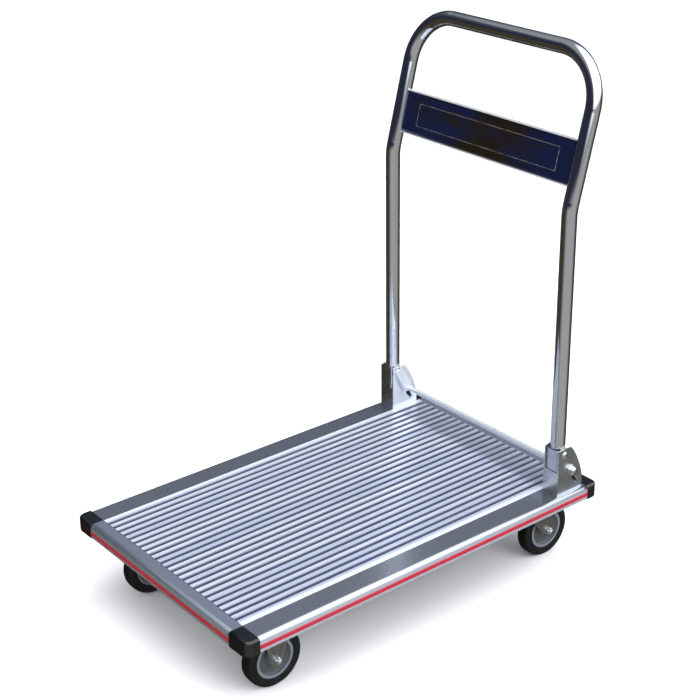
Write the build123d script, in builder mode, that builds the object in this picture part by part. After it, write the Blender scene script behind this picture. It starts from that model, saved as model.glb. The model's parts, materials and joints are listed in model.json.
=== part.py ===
from build123d import *
import os
from math import cos, radians, sin, tan

# Folding platform cart: a ribbed aluminium deck on two rigid and two swivel
# casters, with a tube handle that folds forward over the deck.
# Millimetres. +Z up, +X across the deck, +Y towards the handle's end.
# The origin is on the floor, under the middle of the deck.
# "front" is the -Y end, "rear" the handle's end, "left" is -X, "right" is +X.

# ---- deck
deck_length = 740.0  # over the corner caps
deck_width = 480.0
deck_underside = 123.0
rib_top = 149.0
rail_top = 148.0
cap_proud = 1.25  # how far the corner caps stand out past the rails
wall = 2.0  # of every extrusion

plank_count = 4
rib_pitch = 15.5
ribs_per_plank = 6
rib_height = 1.8
rib_top_width = 9.6
rib_flank_angle = 66.0
plank_bottom = 131.0
plank_plate = 3.0  # thickness under the ribs
bead_z = 139.0  # bead and groove where planks meet
bead_radius = 1.2
groove_radius = 1.5
plank_gap = 0.1
plank_half_length = 344.3
edge_web = 3.0
edge_foot = 10.0
middle_foot = 18.0
screw_port_radius = 3.5
screw_port_hole = 1.9
screw_port_offset = 23.25
screw_port_height = 138.0

rail_outer = deck_width / 2 - cap_proud
rail_end = deck_length / 2 - cap_proud
end_joint = 344.5  # plane where side rails and planks meet the end rails
lip_inner = 186.2
lip_outer = 194.0
lip_low = 146.0
rail_inner_wall = 193.0
chamber_corner_z = 141.0  # where the rails' chambers slope in under the shoulder
ledge_inner = 174.0
ledge_top = 130.8
shoulder_radius = 8.3
heel_radius = 1.8
strip_low = 129.0
strip_high = 136.3
strip_depth = 3.5
strip_proud = 0.9
strip_edge_radius = 1.6

cap_inner_x = 196.4
cap_radius = 14.0
cap_top = 148.8
cap_bottom = 122.6
cap_wall = 3.0
cap_upper_round = 5.0
cap_lower_round = 1.5
cap_pocket_depth = 18.0
plug_depth = 14.0
plug_height = 17.0
plug_z = 135.5
side_plug_width = 28.0
end_plug_width = 13.0

# ---- casters
wheel_radius = 50.0
caster_x = 169.0
front_axle_y = -276.0
kingpin_y = 276.0
trail = 34.0
rear_axle_y = kingpin_y + trail
plate_top = deck_underside
plate_thickness = 3.0
plate_size_x = 64.0
plate_size_y = 92.0
plate_hole_x = 46.0
plate_hole_y = 72.0
plate_hole_radius = 4.25
plate_corner = 8.0
front_leg_top = 56.0  # width of a fork leg where it meets the crown
rear_leg_top = 50.0
leg_gap = 29.0  # between the fork's legs
leg_thickness = 2.5
leg_end_radius = 12.0
tyre_width = 24.0
rim_radius = 34.65
hub_width = 27.0
sleeve_radius = 6.0
sleeve_bore = 4.1
axle_radius = 4.0
running_gap = 0.05
tyre_shoulder = 5.5
hub_boss_radius = 11.5
hub_web = 6.0
rim_inner = 29.5
m8_hex_radius = 7.5  # over the corners
m6_hex_radius = 5.7
bolt_slip = 0.2  # radial, of a bolt in its hole

# ---- handle and its hinge
tube_radius = 12.7
tube_wall = 1.5
tube_x = 211.5
tube_y = 294.3
tube_low = 194.0
bend_height = 645.8  # where the straight legs' axis meets the leaning part's
lean = 14.68  # degrees
bar_height = 880.7
bend_radius = 95.0
corner_radius = 85.0

pivot_z = 221.0
pivot_radius = 4.0
bracket_inner = 195.0
bracket_outer = 228.6
bracket_wall = 2.5
bracket_front = 280.5
bracket_rear = 338.8
bracket_top = 232.0
fixed_web_top = 190.0
socket_wall = 1.5
socket_low = 192.1
socket_high = 230.5
socket_web_edge = 203.0
socket_rear = 13.0  # behind the tube's axis
bracket_head_y = 311.0
bracket_curve = (331.0, 195.5)  # a point on the rear edge's curve
bracket_curve_low = 170.0

rod_y = 310.8
rod_z = 188.0
rod_radius = 5.0
rod_end_radius = 4.0
slot_length = 28.0
slot_radius = 4.3

# ---- places worked out from the sizes above
plank_centres = [
    (n - (plank_count - 1) / 2) * ribs_per_plank * rib_pitch for n in range(plank_count)
]
caster_ys = (front_axle_y, kingpin_y)
member_half_width = 60.0
member_lip = 14.0
member_rivet_shift = 5.5  # clear of the planks' middle webs
member_rivet_offset = 52.0
ledge_rivet_x = 179.3
ledge_rivet_first = -300.0
ledge_rivet_pitch = 120.0
ledge_rivet_count = 6
member_rivet_places = [
    (x + member_rivet_shift, y + side * member_rivet_offset)
    for y in caster_ys
    for x in plank_centres
    for side in (-1, 1)
]
ledge_rivet_places = [
    (side * ledge_rivet_x, ledge_rivet_first + ledge_rivet_pitch * i)
    for side in (-1, 1)
    for i in range(ledge_rivet_count)
]
rivet_places = member_rivet_places + ledge_rivet_places
rivet_radius = 2.0
end_screw_xs = [x + side * screw_port_offset for x in plank_centres for side in (-1, 1)]
caster_bolt_places = [
    (side_x * caster_x + hole_x * plate_hole_x / 2, y + hole_y * plate_hole_y / 2)
    for side_x in (-1, 1)
    for y in caster_ys
    for hole_x in (-1, 1)
    for hole_y in (-1, 1)
]
bracket_middle = (bracket_inner + bracket_outer) / 2
bracket_bolt_ys = (296.0, 320.0)
bracket_bolt_radius = 3.0

os.makedirs("parts", exist_ok=True)


def save(node_name, piece):
    piece.label = node_name
    export_step(piece, f"parts/{node_name}.step")


def mirrored(piece, plane=Plane.YZ):
    with BuildPart() as twin:
        mirror(piece, about=plane)
    return twin.part


def save_pair(stem, right_piece):
    save(f"{stem}_right", right_piece)
    save(f"{stem}_left", mirrored(right_piece))


# ---------------------------------------------------------------- deck planks
def make_plank(centre_x):
    half = ribs_per_plank * rib_pitch / 2 - plank_gap
    floor = rib_top - rib_height
    plate_bottom = floor - plank_plate
    with BuildPart() as plank:
        with BuildSketch(Plane.XZ) as section:
            with Locations((centre_x, plate_bottom)):
                Rectangle(2 * half, plank_plate, align=(Align.CENTER, Align.MIN))
            rib_places = [
                (centre_x + (i - ribs_per_plank / 2) * rib_pitch, floor)
                for i in range(ribs_per_plank + 1)
            ]
            rib_base = rib_top_width + 2 * rib_height / tan(radians(rib_flank_angle))
            with Locations(*rib_places):
                Trapezoid(rib_base, rib_height, rib_flank_angle, align=(Align.CENTER, Align.MIN))
            # hollow underside: edge webs with feet, one middle web with its foot
            for side in (-1, 1):
                with Locations((centre_x + side * (half - edge_web / 2), plank_bottom)):
                    Rectangle(edge_web, plate_bottom - plank_bottom, align=(Align.CENTER, Align.MIN))
                with Locations((centre_x + side * (half - edge_foot / 2), plank_bottom)):
                    Rectangle(edge_foot, wall, align=(Align.CENTER, Align.MIN))
                port_x = centre_x + side * screw_port_offset
                with Locations((port_x, screw_port_height)):
                    Circle(screw_port_radius)
                with Locations((port_x, screw_port_height)):
                    Rectangle(wall, plate_bottom - screw_port_height, align=(Align.CENTER, Align.MIN))
                with Locations((port_x, screw_port_height)):
                    Circle(screw_port_hole, mode=Mode.SUBTRACT)
            with Locations((centre_x, plank_bottom)):
                Rectangle(wall, plate_bottom - plank_bottom, align=(Align.CENTER, Align.MIN))
                Rectangle(middle_foot, wall, align=(Align.CENTER, Align.MIN))
            with Locations((centre_x, plank_bottom)):
                Rectangle(
                    2 * half,
                    rib_top - plank_bottom,
                    align=(Align.CENTER, Align.MIN),
                    mode=Mode.INTERSECT,
                )
            # the right edge's bead seats in the left neighbour's groove
            with Locations((centre_x - half, bead_z)):
                Circle(groove_radius, mode=Mode.SUBTRACT)
            with Locations((centre_x + half - 2 * plank_gap, bead_z)):
                Circle(bead_radius)
        extrude(amount=plank_half_length, both=True)
        # rivet holes through the feet
        with Locations(*[(x, y, plank_bottom) for x, y in rivet_places]):
            Cylinder(rivet_radius, 2 * wall + 1.0, mode=Mode.SUBTRACT)
    return plank.part


for number, plank_x in enumerate(plank_centres):
    save(f"deck_plank_{number + 1}", make_plank(plank_x))

# ------------------------------------------------------------------ side rail
with BuildPart() as side_rail:
    with BuildSketch(Plane.XZ) as side_section:
        with BuildLine():
            Polyline(
                (lip_inner, rib_top),
                (lip_outer, rib_top),
                (lip_outer + 1.0, rail_top),
                (rail_outer, rail_top),
                (rail_outer, strip_high),
                (rail_outer - strip_depth, strip_high),
                (rail_outer - strip_depth, strip_low),
                (rail_outer, strip_low),
                (rail_outer, deck_underside),
                (ledge_inner, deck_underside),
                (ledge_inner, ledge_top),
                (rail_inner_wall, ledge_top),
                (rail_inner_wall, lip_low),
                (lip_inner, lip_low),
                close=True,
            )
        make_face()
        shoulder = side_section.vertices().sort_by_distance((rail_outer, rail_top, 0))[0]
        fillet(shoulder, shoulder_radius)
        heel = side_section.vertices().sort_by_distance((rail_outer, deck_underside, 0))[0]
        fillet(heel, heel_radius)
        # chambers: a flat one over the ledge, a tall one behind the shoulder
        with BuildLine():
            Polyline(
                (ledge_inner + wall, deck_underside + wall),
                (rail_outer - strip_depth - wall, deck_underside + wall),
                (rail_outer - strip_depth - wall, chamber_corner_z),
                (rail_outer - shoulder_radius, rail_top - wall),
                (rail_inner_wall + wall, rail_top - wall),
                (rail_inner_wall + wall, ledge_top - wall),
                (ledge_inner + wall, ledge_top - wall),
                close=True,
            )
        make_face(mode=Mode.SUBTRACT)
    extrude(amount=end_joint, both=True)
    # bolt holes for the hinge bracket and the casters
    with Locations(*[(bracket_middle, y, rail_top) for y in bracket_bolt_ys]):
        Cylinder(bracket_bolt_radius + bolt_slip, 2 * wall, mode=Mode.SUBTRACT)
    with Locations(*[(x, y, deck_underside) for x, y in caster_bolt_places]):
        Cylinder(axle_radius + bolt_slip, 3 * wall, mode=Mode.SUBTRACT)
    with Locations(*[(x, y, ledge_top) for x, y in ledge_rivet_places]):
        Cylinder(rivet_radius, 2 * wall, mode=Mode.SUBTRACT)
save_pair("side_rail", side_rail.part)

# ------------------------------------------------------------------- end rail
with BuildPart() as end_rail:
    with BuildSketch(Plane.YZ) as end_section:
        with BuildLine():
            Polyline(
                (end_joint, rail_top),
                (rail_end, rail_top),
                (rail_end, strip_high),
                (rail_end - strip_depth, strip_high),
                (rail_end - strip_depth, strip_low),
                (rail_end, strip_low),
                (rail_end, deck_underside),
                (end_joint, deck_underside),
                close=True,
            )
        make_face()
        shoulder = end_section.vertices().sort_by_distance((rail_end, rail_top, 0))[0]
        fillet(shoulder, shoulder_radius)
        heel = end_section.vertices().sort_by_distance((rail_end, deck_underside, 0))[0]
        fillet(heel, heel_radius)
        with BuildLine():
            Polyline(
                (end_joint + wall, deck_underside + wall),
                (rail_end - strip_depth - wall, deck_underside + wall),
                (rail_end - strip_depth - wall, chamber_corner_z),
                (rail_end - shoulder_radius, rail_top - wall),
                (end_joint + wall, rail_top - wall),
                close=True,
            )
        make_face(mode=Mode.SUBTRACT)
    extrude(amount=cap_inner_x, both=True)
    # screw holes through both upright walls, into the planks' screw ports
    with BuildSketch(Plane.XZ.offset(-end_joint)):
        with Locations(*[(x, screw_port_height) for x in end_screw_xs]):
            Circle(screw_port_hole + 0.4)
    extrude(amount=-wall, mode=Mode.SUBTRACT)
save("end_rail_rear", end_rail.part)
save("end_rail_front", mirrored(end_rail.part, Plane.XZ))

# ------------------------------------------------------------- bumper strips
with BuildPart() as side_strip:
    with BuildSketch(Plane.XZ) as strip_section:
        with Locations((rail_outer - strip_depth, strip_low)):
            Rectangle(
                strip_depth + strip_proud,
                strip_high - strip_low,
                align=(Align.MIN, Align.MIN),
            )
        fillet(strip_section.vertices().sort_by(Axis.X)[-2:], strip_edge_radius)
    extrude(amount=end_joint, both=True)
save_pair("side_strip", side_strip.part)

with BuildPart() as end_strip:
    with BuildSketch(Plane.YZ) as strip_section:
        with Locations((rail_end - strip_depth, strip_low)):
            Rectangle(
                strip_depth + strip_proud,
                strip_high - strip_low,
                align=(Align.MIN, Align.MIN),
            )
        fillet(strip_section.vertices().sort_by(Axis.X)[-2:], strip_edge_radius)
    extrude(amount=cap_inner_x, both=True)
save("end_strip_rear", end_strip.part)
save("end_strip_front", mirrored(end_strip.part, Plane.XZ))

# ---------------------------------------------------------------- corner caps
with BuildPart() as corner_cap:
    with BuildSketch(Plane.XY.offset(cap_bottom)) as cap_plan:
        with Locations((cap_inner_x, end_joint)):
            Rectangle(
                deck_width / 2 - cap_inner_x,
                deck_length / 2 - end_joint,
                align=(Align.MIN, Align.MIN),
            )
        outer_corner = cap_plan.vertices().sort_by_distance((deck_width, deck_length, 0))[0]
        fillet(outer_corner, cap_radius)
    extrude(amount=cap_top - cap_bottom)
    upper_edges = corner_cap.faces().sort_by(Axis.Z)[-1].edges()
    outer_edges = upper_edges.filter_by(
        lambda e: (e @ 0.5).X > cap_inner_x + 1 and (e @ 0.5).Y > end_joint + 1
    )
    fillet(outer_edges, cap_upper_round)
    lower_edges = corner_cap.faces().sort_by(Axis.Z)[0].edges()
    outer_edges = lower_edges.filter_by(
        lambda e: (e @ 0.5).X > cap_inner_x + 1 and (e @ 0.5).Y > end_joint + 1
    )
    fillet(outer_edges, cap_lower_round)
    # pocket from below
    with BuildSketch(Plane.XY.offset(cap_bottom)) as cap_pocket:
        with Locations((cap_inner_x + cap_wall, end_joint + cap_wall)):
            Rectangle(
                deck_width / 2 - cap_inner_x - 2 * cap_wall,
                deck_length / 2 - end_joint - 2 * cap_wall,
                align=(Align.MIN, Align.MIN),
            )
        outer_corner = cap_pocket.vertices().sort_by_distance((deck_width, deck_length, 0))[0]
        fillet(outer_corner, cap_radius - cap_wall)
    extrude(amount=cap_pocket_depth, mode=Mode.SUBTRACT)
    # plugs that hold the cap in the rails' open ends
    with Locations((214.0, end_joint - plug_depth / 2, plug_z)):
        Box(side_plug_width, plug_depth, plug_height)
    with Locations((cap_inner_x - plug_depth / 2, 354.5, plug_z)):
        Box(plug_depth, end_plug_width, plug_height)
save("corner_cap_rear_right", corner_cap.part)
rear_left_cap = mirrored(corner_cap.part)
save("corner_cap_rear_left", rear_left_cap)
save("corner_cap_front_right", mirrored(corner_cap.part, Plane.XZ))
save("corner_cap_front_left", mirrored(rear_left_cap, Plane.XZ))

# -------------------------------------------------------------- cross members
def make_member(centre_y):
    tray_height = plank_bottom - deck_underside
    with BuildPart() as member:
        with BuildSketch(Plane.YZ):
            with Locations((centre_y, deck_underside)):
                Rectangle(2 * member_half_width, tray_height, align=(Align.CENTER, Align.MIN))
            with Locations((centre_y, deck_underside + wall)):
                Rectangle(
                    2 * (member_half_width - wall),
                    tray_height - 2 * wall,
                    align=(Align.CENTER, Align.MIN),
                    mode=Mode.SUBTRACT,
                )
            with Locations((centre_y, plank_bottom - wall)):
                Rectangle(
                    2 * (member_half_width - member_lip),
                    wall,
                    align=(Align.CENTER, Align.MIN),
                    mode=Mode.SUBTRACT,
                )
        extrude(amount=ledge_inner - 0.4, both=True)
        with Locations(*[(x, y, deck_underside) for x, y in caster_bolt_places]):
            Cylinder(axle_radius + bolt_slip, 3 * wall, mode=Mode.SUBTRACT)
        with Locations(*[(x, y, plank_bottom) for x, y in member_rivet_places]):
            Cylinder(rivet_radius, 2 * wall + 1.0, mode=Mode.SUBTRACT)
    return member.part


save("cross_member_front", make_member(front_axle_y))
save("cross_member_rear", make_member(kingpin_y))


# ------------------------------------------------------------------ fasteners
def make_rivet(grip_low, grip_high, head_height):
    """A rivet about the Z axis; its heads stand outside the grip."""
    head_radius = 3.2
    with BuildPart() as rivet:
        with BuildSketch(Plane.XZ):
            with BuildLine():
                Polyline(
                    (0, grip_low - head_height),
                    (head_radius - 0.6, grip_low - head_height),
                    (head_radius, grip_low),
                    (rivet_radius, grip_low),
                    (rivet_radius, grip_high),
                    (head_radius, grip_high),
                    (head_radius - 0.6, grip_high + head_height),
                    (0, grip_high + head_height),
                    close=True,
                )
            make_face()
        revolve(axis=Axis.Z)
    return rivet.part


def copies(piece, places):
    """The same piece at every (x, y) place, as separate solids."""
    with BuildPart() as group:
        with Locations(*[(x, y, 0) for x, y in places]):
            add(piece)
    return group.part


member_rivet = make_rivet(plank_bottom - wall, plank_bottom + wall, 1.2)
save("cross_member_rivets", copies(member_rivet, member_rivet_places))
ledge_rivet = make_rivet(ledge_top - wall, plank_bottom + wall, 1.0)
save("side_rail_rivets", copies(ledge_rivet, ledge_rivet_places))

# screws through the end rails into the planks' screw ports
with BuildPart() as end_rail_screws:
    for end in (-1, 1):
        for x in end_screw_xs:
            with Locations(Plane((x, end * (end_joint + wall), screw_port_height), z_dir=(0, end, 0))):
                Cylinder(3.6, 2.6, align=(Align.CENTER, Align.CENTER, Align.MIN))
                Cylinder(screw_port_hole, 20.0, align=(Align.CENTER, Align.CENTER, Align.MAX))
save("end_rail_screws", end_rail_screws.part)

# carriage bolts and nuts that hold the caster plates
plate_low = plate_top - plate_thickness
nut_height = 6.5
with BuildPart() as caster_bolt:
    with BuildSketch(Plane.XZ):
        with BuildLine():
            head_base = deck_underside + wall
            Line((0, plate_low - 10.0), (3.2, plate_low - 10.0))
            Line((3.2, plate_low - 10.0), (4.0, plate_low - 9.2))
            Line((4.0, plate_low - 9.2), (4.0, head_base))
            Line((4.0, head_base), (7.8, head_base))
            ThreePointArc((7.8, head_base), (5.6, head_base + 2.4), (1.5, head_base + 3.5))
            Line((1.5, head_base + 3.5), (0, head_base + 3.5))
            Line((0, head_base + 3.5), (0, plate_low - 10.0))
        make_face()
    revolve(axis=Axis.Z)

save("caster_bolts", copies(caster_bolt.part, caster_bolt_places))

with BuildPart() as caster_nut:
    with BuildSketch(Plane.XY.offset(plate_low - nut_height)):
        RegularPolygon(m8_hex_radius, 6)
        Circle(axle_radius, mode=Mode.SUBTRACT)
    extrude(amount=nut_height)

save("caster_nuts", copies(caster_nut.part, caster_bolt_places))


# -------------------------------------------------------------------- casters
def caster_plate_sketch(centre_x, centre_y):
    with Locations((centre_x, centre_y)):
        RectangleRounded(plate_size_x, plate_size_y, plate_corner)
    with Locations((centre_x, centre_y)):
        with GridLocations(plate_hole_x, plate_hole_y, 2, 2):
            Circle(plate_hole_radius, mode=Mode.SUBTRACT)


def fork_leg_face(axle_y, top_y, top_width, top_z, side):
    """One leg's outline: from a straight top edge to a round end about the axle."""
    with BuildSketch(Plane.YZ.offset(caster_x + side * leg_gap / 2)) as leg:
        with Locations((axle_y, wheel_radius)):
            Circle(leg_end_radius)
        with Locations((top_y, top_z - 2.0)):
            Rectangle(top_width, 4.0)
        make_hull()
        with Locations((axle_y, wheel_radius)):
            Circle(axle_radius, mode=Mode.SUBTRACT)
    return leg.sketch


with BuildPart() as front_fork:
    with BuildSketch(Plane.XY.offset(plate_top)):
        caster_plate_sketch(caster_x, front_axle_y)
    extrude(amount=-plate_thickness)
    crown_width = leg_gap + 2 * leg_thickness
    with Locations((caster_x, front_axle_y, plate_low)):
        Box(
            crown_width,
            front_leg_top,
            plate_thickness,
            align=(Align.CENTER, Align.CENTER, Align.MAX),
        )
    for side in (-1, 1):
        leg_face = fork_leg_face(front_axle_y, front_axle_y, front_leg_top, plate_low, side)
        extrude(leg_face, amount=side * leg_thickness)
save_pair("front_fork", front_fork.part)

# swivel: top plate with the upper race, kingpin, balls, fork with the lower race
crown_top = 112.0
crown_thickness = 3.0
crown_radius = 30.0
race_radius = 22.0
race_half_width = 5.0
upper_race_height = 3.4
lower_race_height = 2.4
ball_radius = 3.0
ball_z = 115.5
ball_count = 14
kingpin_radius = 5.0
kingpin_low = 106.0
kingpin_head_radius = 9.0
kingpin_head_height = 2.7
ball_relief = 0.3  # of the lower race, which turns under the balls

with BuildPart() as rear_caster_plate:
    with BuildSketch(Plane.XY.offset(plate_top)):
        caster_plate_sketch(caster_x, kingpin_y)
    extrude(amount=-plate_thickness)
    with BuildSketch(Plane.XY.offset(plate_low)):
        with Locations((caster_x, kingpin_y)):
            Circle(race_radius + race_half_width)
            Circle(race_radius - race_half_width, mode=Mode.SUBTRACT)
    extrude(amount=-upper_race_height)
    with Locations((caster_x, kingpin_y, ball_z)):
        Torus(race_radius, ball_radius + running_gap, mode=Mode.SUBTRACT)
    with Locations((caster_x, kingpin_y, plate_top)):
        Cylinder(kingpin_radius, 20.0, mode=Mode.SUBTRACT)
save_pair("rear_caster_plate", rear_caster_plate.part)

with BuildPart() as swivel_balls:
    with Locations((caster_x, kingpin_y, ball_z)):
        with PolarLocations(race_radius, ball_count):
            Sphere(ball_radius)
save_pair("swivel_balls", swivel_balls.part)

with BuildPart() as kingpin:
    with Locations((caster_x, kingpin_y, plate_top)):
        Cylinder(kingpin_radius, plate_top - kingpin_low, align=(Align.CENTER, Align.CENTER, Align.MAX))
    with Locations((caster_x, kingpin_y, kingpin_low + kingpin_head_height)):
        Cylinder(
            kingpin_head_radius,
            kingpin_head_height,
            align=(Align.CENTER, Align.CENTER, Align.MAX),
        )
    fillet(kingpin.edges().filter_by(GeomType.CIRCLE).group_by(Axis.Z)[0], 1.2)
save_pair("kingpin", kingpin.part)

with BuildPart() as rear_fork:
    with BuildSketch(Plane.XY.offset(crown_top - crown_thickness)):
        with Locations((caster_x, kingpin_y)):
            Circle(crown_radius)
    extrude(amount=crown_thickness)
    with BuildSketch(Plane.XY.offset(crown_top)):
        with Locations((caster_x, kingpin_y)):
            Circle(race_radius + race_half_width)
            Circle(race_radius - race_half_width, mode=Mode.SUBTRACT)
    extrude(amount=lower_race_height)
    for side in (-1, 1):
        leg_face = fork_leg_face(rear_axle_y, kingpin_y, rear_leg_top, crown_top - 1.0, side)
        extrude(leg_face, amount=side * leg_thickness)
    with Locations((caster_x, kingpin_y, ball_z)):
        Torus(race_radius, ball_radius + ball_relief, mode=Mode.SUBTRACT)
    with Locations((caster_x, kingpin_y, crown_top)):
        Cylinder(kingpin_radius + running_gap, 20.0, mode=Mode.SUBTRACT)
save_pair("rear_fork", rear_fork.part)


# --------------------------------------------------------------------- wheels
def wheel_plane(centre_y):
    """Plane through the wheel's middle, local x radial (+Y), local y along +X."""
    return Plane((caster_x, centre_y, wheel_radius), x_dir=(0, 1, 0), z_dir=(0, 0, 1))


def make_tyre(centre_y):
    with BuildPart() as tyre:
        with BuildSketch(wheel_plane(centre_y)) as tyre_section:
            with Locations((rim_radius, 0)):
                Rectangle(
                    wheel_radius - rim_radius, tyre_width, align=(Align.MIN, Align.CENTER)
                )
            fillet(tyre_section.vertices().sort_by(Axis.X)[-2:], tyre_shoulder)
        revolve(axis=Axis((caster_x, centre_y, wheel_radius), (1, 0, 0)))
    return tyre.part


def make_hub(centre_y):
    bore = sleeve_radius + running_gap
    half_rim = tyre_width / 2 - 1.0
    with BuildPart() as hub:
        with BuildSketch(wheel_plane(centre_y)):
            # boss, thin web and rim in one half section
            with Locations((bore, 0)):
                Rectangle(hub_boss_radius - bore, hub_width, align=(Align.MIN, Align.CENTER))
            with Locations((bore, 0)):
                Rectangle(rim_radius - bore, hub_web, align=(Align.MIN, Align.CENTER))
            with Locations((rim_inner, 0)):
                Rectangle(rim_radius - rim_inner, 2 * half_rim, align=(Align.MIN, Align.CENTER))
        revolve(axis=Axis((caster_x, centre_y, wheel_radius), (1, 0, 0)))
    return hub.part


def make_sleeve(centre_y):
    with BuildPart() as sleeve:
        with BuildSketch(Plane.YZ.offset(caster_x)):
            with Locations((centre_y, wheel_radius)):
                Circle(sleeve_radius)
                Circle(sleeve_bore, mode=Mode.SUBTRACT)
        extrude(amount=leg_gap / 2, both=True)
    return sleeve.part


def make_axle_bolt(centre_y):
    """Hex head inboard, lock nut outboard: two separate solids."""
    outer_face = caster_x + leg_gap / 2 + leg_thickness
    inner_face = caster_x - leg_gap / 2 - leg_thickness
    head_height = 5.3
    hex_height = 6.0
    collar_height = 2.4
    with BuildPart() as bolt:
        with BuildSketch(Plane.YZ.offset(inner_face)):
            with Locations((centre_y, wheel_radius)):
                RegularPolygon(m8_hex_radius, 6)
        extrude(amount=-head_height)
        with BuildSketch(Plane.YZ.offset(inner_face)):
            with Locations((centre_y, wheel_radius)):
                Circle(axle_radius)
        extrude(amount=outer_face - inner_face + 11.0)
        chamfer(bolt.edges().filter_by(GeomType.CIRCLE).sort_by(Axis.X)[-1], 1.0)
    with BuildPart() as nut:
        with BuildSketch(Plane.YZ.offset(outer_face)):
            with Locations((centre_y, wheel_radius)):
                RegularPolygon(m8_hex_radius, 6)
        extrude(amount=hex_height)
        with BuildSketch(Plane.YZ.offset(outer_face + hex_height)):
            with Locations((centre_y, wheel_radius)):
                Circle(5.8)
        extrude(amount=collar_height)
        fillet(nut.edges().filter_by(GeomType.CIRCLE).sort_by(Axis.X)[-1], 1.0)
        with BuildSketch(Plane.YZ.offset(outer_face)):
            with Locations((centre_y, wheel_radius)):
                Circle(axle_radius)
        extrude(amount=hex_height + collar_height, mode=Mode.SUBTRACT)
    return [bolt.part.solid(), nut.part.solid()]


def save_group(node_name, solids):
    """Several separate solids in one node."""
    save(node_name, Compound(children=solids))


for place, axle_y in (("front", front_axle_y), ("rear", rear_axle_y)):
    save_pair(f"{place}_tyre", make_tyre(axle_y))
    save_pair(f"{place}_wheel_hub", make_hub(axle_y))

save_pair("rear_axle_sleeve", make_sleeve(rear_axle_y))
front_sleeve = make_sleeve(front_axle_y)
save_group("front_axle_sleeves", [front_sleeve.solid(), mirrored(front_sleeve).solid()])

rear_bolt = make_axle_bolt(rear_axle_y)
front_bolt = make_axle_bolt(front_axle_y)
save_group("rear_axle_bolt_right", rear_bolt)
save_group("rear_axle_bolt_left", [mirrored(piece).solid() for piece in rear_bolt])
save_group(
    "front_axle_bolts",
    front_bolt + [mirrored(piece).solid() for piece in front_bolt],
)

# -------------------------------------------------------------- hinge bracket
slot_direction = Vector(0, rod_y - tube_y, rod_z - pivot_z).normalized()
slot_angle = Vector(1, 0, 0).get_signed_angle(
    Vector(slot_direction.Y, slot_direction.Z, 0), Vector(0, 0, 1)
)
inner_bracket_face = bracket_inner + bracket_wall
outer_bracket_face = bracket_outer - bracket_wall

with BuildPart() as hinge_bracket:
    with BuildSketch(Plane.YZ.offset(bracket_inner)) as cheek:
        with BuildLine():
            front_foot = (bracket_front, rail_top)
            front_head = (bracket_front, bracket_top)
            rear_head = (bracket_head_y, bracket_top - 1.0)
            rear_foot = (bracket_rear, rail_top)
            Line(front_foot, front_head)
            Line(front_head, rear_head)
            ThreePointArc(rear_head, bracket_curve, (bracket_rear, bracket_curve_low))
            Line((bracket_rear, bracket_curve_low), rear_foot)
            Line(rear_foot, front_foot)
        make_face()
        fillet(cheek.vertices().sort_by_distance((*front_head, 0))[0], 4.0)
        fillet(cheek.vertices().sort_by_distance((*rear_head, 0))[0], 5.0)
        with Locations((tube_y, pivot_z)):
            Circle(pivot_radius, mode=Mode.SUBTRACT)
        slot_middle = Vector(rod_y, rod_z, 0) + Vector(
            slot_direction.Y, slot_direction.Z, 0
        ) * (slot_length / 2)
        with Locations(slot_middle):
            SlotCenterToCenter(slot_length, 2 * slot_radius, rotation=slot_angle, mode=Mode.SUBTRACT)
    extrude(amount=bracket_wall)
    extrude(cheek.sketch.moved(Location((outer_bracket_face - bracket_inner, 0, 0))), amount=bracket_wall)
    # lower front web and the foot that the bolts hold down
    with Locations((bracket_middle, bracket_front, rail_top)):
        Box(
            bracket_outer - bracket_inner,
            bracket_wall,
            fixed_web_top - rail_top,
            align=(Align.CENTER, Align.MIN, Align.MIN),
        )
        Box(
            bracket_outer - bracket_inner,
            bracket_rear - bracket_front,
            bracket_wall,
            align=(Align.CENTER, Align.MIN, Align.MIN),
        )
    with Locations(*[(bracket_middle, y, rail_top) for y in bracket_bolt_ys]):
        Cylinder(bracket_bolt_radius + bolt_slip, 3 * bracket_wall, mode=Mode.SUBTRACT)
save_pair("hinge_bracket", hinge_bracket.part)

# bolts through the brackets' feet and the rails' top walls
with BuildPart() as bracket_bolt:
    with BuildSketch(Plane.XY.offset(rail_top + bracket_wall)):
        RegularPolygon(m6_hex_radius, 6)
    extrude(amount=4.0)
    with BuildSketch(Plane.XY.offset(rail_top + bracket_wall)):
        Circle(bracket_bolt_radius)
    extrude(amount=-12.0)
    with BuildSketch(Plane.XY.offset(rail_top - wall)):
        RegularPolygon(m6_hex_radius, 6)
    extrude(amount=-5.0)
bracket_bolt_places = [
    (side * bracket_middle, y) for side in (-1, 1) for y in bracket_bolt_ys
]
save("bracket_bolts", copies(bracket_bolt.part, bracket_bolt_places))

# ----------------------------------------------------------------- pivot pins
with BuildPart() as pivot_pin:
    with BuildSketch(Plane.XY):
        with BuildLine():
            head = 6.3
            Line((bracket_inner - 1.8, head - 0.8), (bracket_inner - 1.0, head))
            Line((bracket_inner - 1.0, head), (bracket_inner, head))
            Line((bracket_inner, head), (bracket_inner, pivot_radius))
            Line((bracket_inner, pivot_radius), (bracket_outer, pivot_radius))
            Line((bracket_outer, pivot_radius), (bracket_outer, head))
            ThreePointArc(
                (bracket_outer, head), (bracket_outer + 2.1, head * 0.65), (bracket_outer + 3.0, 1.5)
            )
            Line((bracket_outer + 3.0, 1.5), (bracket_outer + 3.0, 0))
            Line((bracket_outer + 3.0, 0), (bracket_inner - 1.8, 0))
            Line((bracket_inner - 1.8, 0), (bracket_inner - 1.8, head - 0.8))
        make_face()
    revolve(axis=Axis.X)
right_pin = pivot_pin.part.moved(Location((0, tube_y, pivot_z)))
save_group("pivot_pins", [right_pin.solid(), mirrored(right_pin).solid()])

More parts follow.
